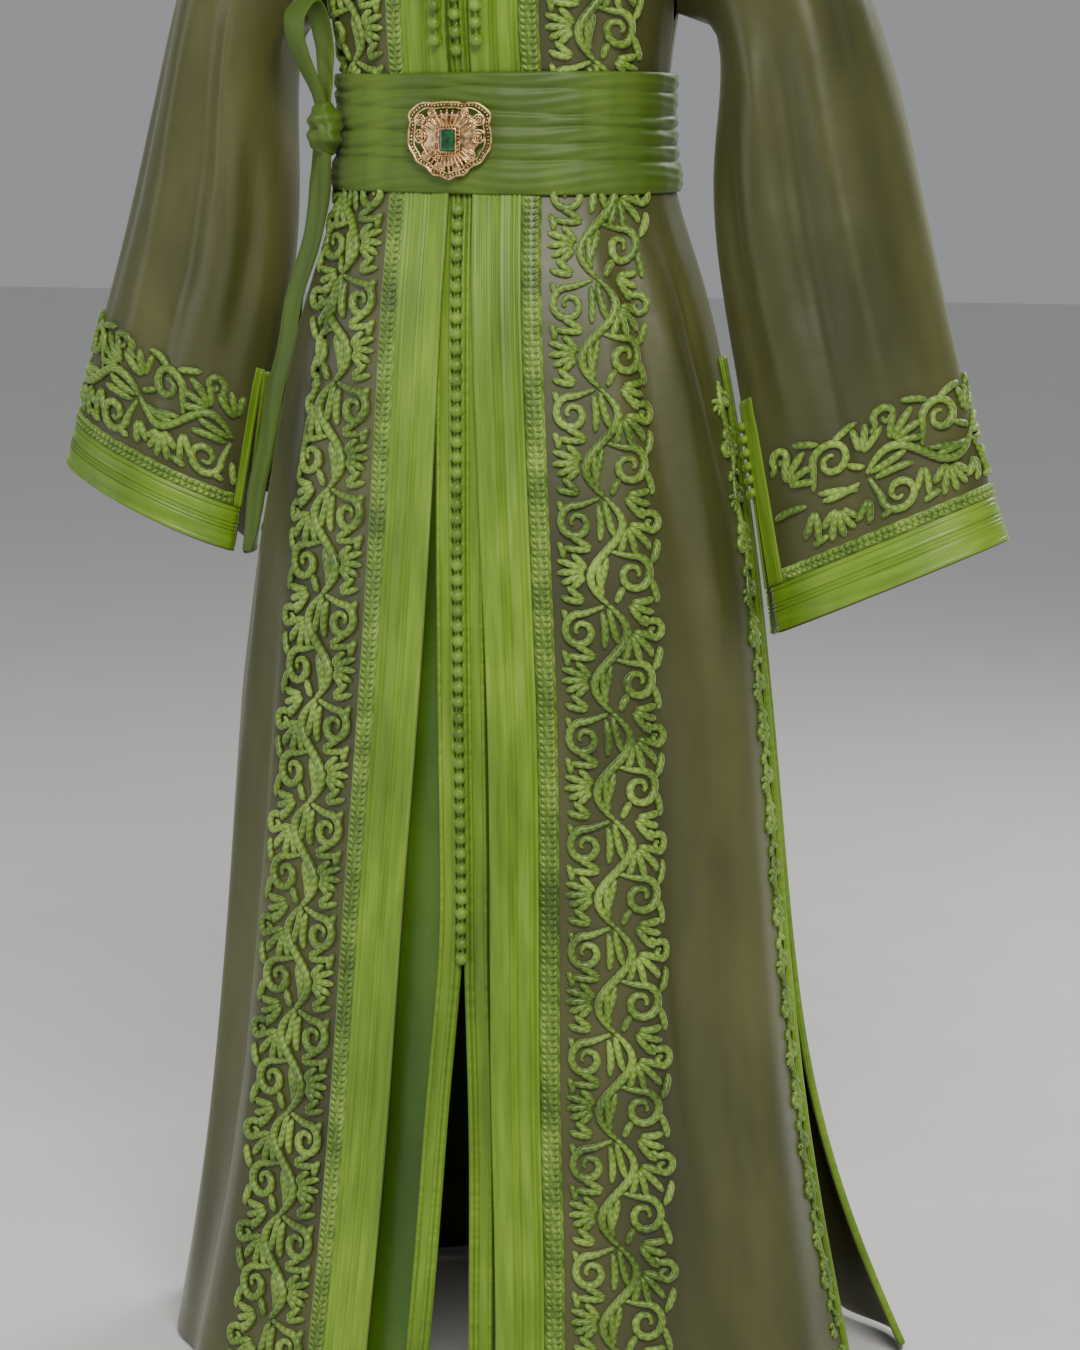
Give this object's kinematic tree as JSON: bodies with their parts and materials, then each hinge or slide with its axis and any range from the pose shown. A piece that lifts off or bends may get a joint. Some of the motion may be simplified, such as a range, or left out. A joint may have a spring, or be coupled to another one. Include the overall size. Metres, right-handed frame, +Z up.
{
  "type": "kaftan",
  "caption": "Two-layer kaftan: open embroidered robe with bell sleeves over a buttoned under-dress, with a pleated sash and a plaque clasp.",
  "frame": {"origin": "middle of the shoulder line, where the wearer's shoulders hold the garment", "axes": "+Z up along the garment, -Y out of its front, +X towards the wearer's left"},
  "size_m": [0.8936, 0.5731, 1.5436],
  "materials": {
    "robe_satin": "heavy satin in olive green with a soft sheen",
    "embroidery_cord": "raised silk cord and braid in light green",
    "band_silk": "ribbed bright green silk band and knotted silk buttons",
    "under_satin": "dark green satin",
    "sash_silk": "pleated green silk",
    "gold": "gilt filigree",
    "green_glass": "cut green glass"
  },
  "bodies": {
    "root": {"back": "robe_satin", "front_left": "robe_satin", "front_right": "robe_satin", "sleeve_left": "robe_satin", "sleeve_right": "robe_satin", "front_braid_left": "embroidery_cord", "front_braid_right": "embroidery_cord", "front_embroidery_left": "embroidery_cord", "front_embroidery_right": "embroidery_cord", "side_embroidery_left": "embroidery_cord", "side_embroidery_right": "embroidery_cord", "cuff_braid_left": "embroidery_cord", "cuff_braid_right": "embroidery_cord", "cuff_embroidery_left": "embroidery_cord", "cuff_embroidery_right": "embroidery_cord", "front_band_left": "band_silk", "front_band_right": "band_silk", "side_trim_left": "band_silk", "side_trim_right": "band_silk", "back_side_trim_left": "band_silk", "back_side_trim_right": "band_silk", "cuff_band_left": "band_silk", "cuff_band_right": "band_silk", "under_band_left": "band_silk", "under_band_right": "band_silk", "button_column_centre": "band_silk", "button_column_top": "band_silk", "button_column_left": "band_silk", "button_column_right": "band_silk", "under_front_left": "under_satin", "under_front_right": "under_satin", "under_back": "under_satin", "belt_wrap": "sash_silk", "belt_knot": "sash_silk", "belt_loop": "sash_silk", "belt_tail_front": "sash_silk", "belt_tail_back": "sash_silk", "brooch_plate": "gold", "brooch_stone": "green_glass"}
  },
  "joints": []
}
